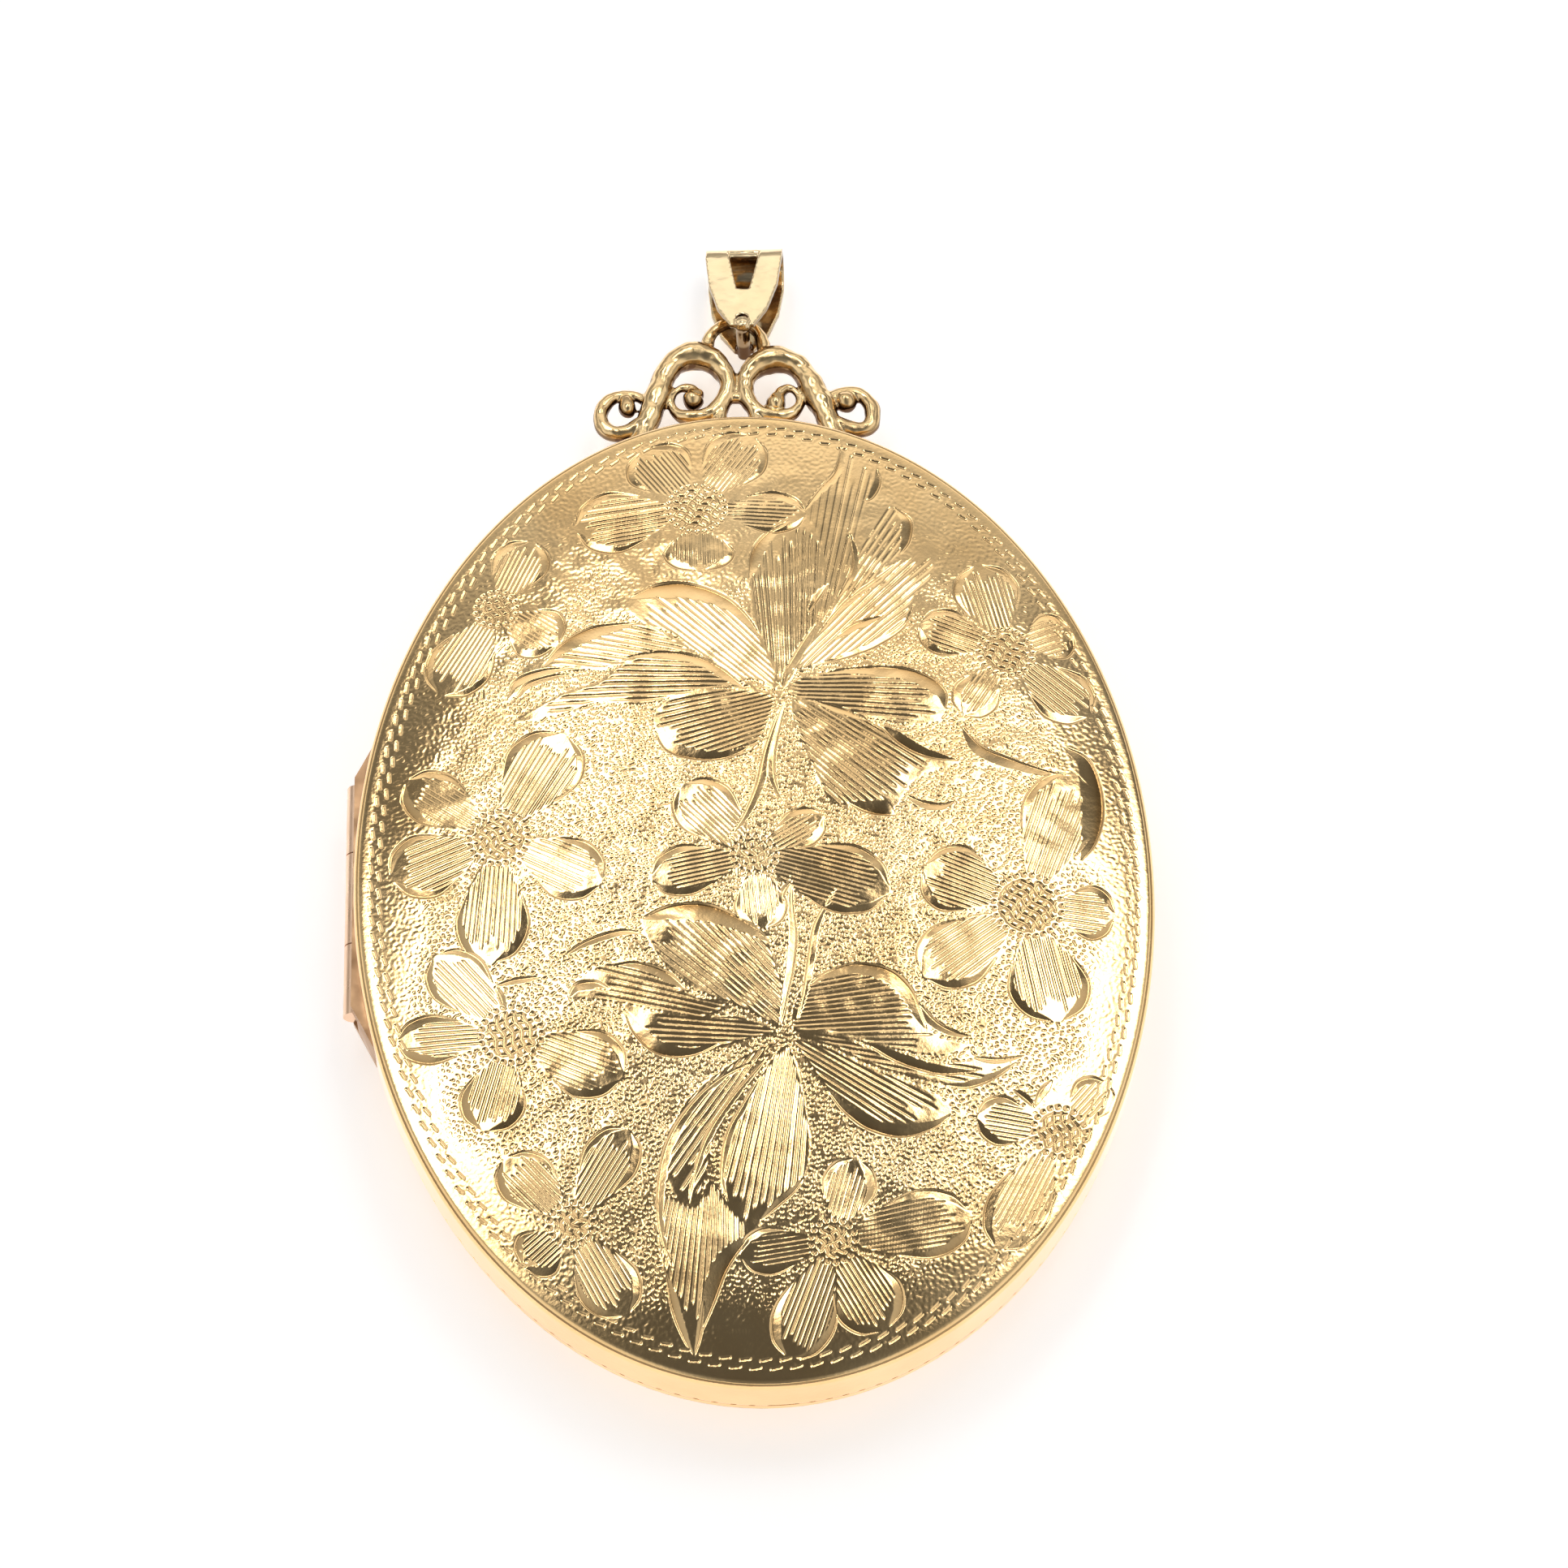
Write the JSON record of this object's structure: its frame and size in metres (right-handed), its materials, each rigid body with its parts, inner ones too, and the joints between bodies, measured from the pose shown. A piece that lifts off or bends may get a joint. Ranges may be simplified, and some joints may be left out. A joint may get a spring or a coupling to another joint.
{
  "type": "locket",
  "caption": "Large oval hinged locket in yellow gold with a domed, flower-engraved front, inner photograph holders, a scrolled wire gallery and a folded bail.",
  "frame": {"origin": "middle of the footprint on the plane that the back rests on", "axes": "+X from the hinge towards the catch, +Y from the oval towards the bail, +Z out of the engraved front"},
  "size_m": [0.0386, 0.0644, 0.0064],
  "materials": {
    "case_gold": "polished yellow gold sheet, hand engraved on the front",
    "gold": "polished yellow gold wire and strip, softened by wear",
    "card": "plain cream card",
    "window": "clear polished celluloid"
  },
  "bodies": {
    "rear_half": {"rear_cover": "case_gold", "rear_bezel": "case_gold", "catch_bead": "gold", "rear_photo_card": "card", "rear_window": "window", "rear_photo_ring": "gold", "rear_hinge_plate": "gold", "upper_knuckle": "gold", "lower_knuckle": "gold", "hinge_pin": "gold", "left_scroll": "gold", "left_side_scroll": "gold", "left_scroll_ball": "gold", "left_side_ball": "gold", "left_scroll_leg": "gold", "right_scroll": "gold", "right_side_scroll": "gold", "right_scroll_ball": "gold", "right_side_ball": "gold", "right_scroll_leg": "gold", "top_arch": "gold"},
    "front_half": {"front_cover": "case_gold", "front_bezel": "case_gold", "front_photo_card": "card", "front_window": "window", "front_photo_ring": "gold", "front_hinge_plate": "gold", "middle_knuckle": "gold"},
    "bail_loop": {"bail": "gold", "bail_post": "gold"}
  },
  "joints": [
    {"name": "cover_hinge", "type": "hinge", "parent": "rear_half", "child": "front_half", "pos_m": [-0.01872, -0.00634, 0.0029], "axis": [0, -1, 0], "range_deg": [0, 150]},
    {"name": "bail_swing", "type": "hinge", "parent": "rear_half", "child": "bail_loop", "pos_m": [0.00072, 0.02712, 0.00228], "axis": [1, 0, 0], "range_deg": [-15, 45]}
  ]
}
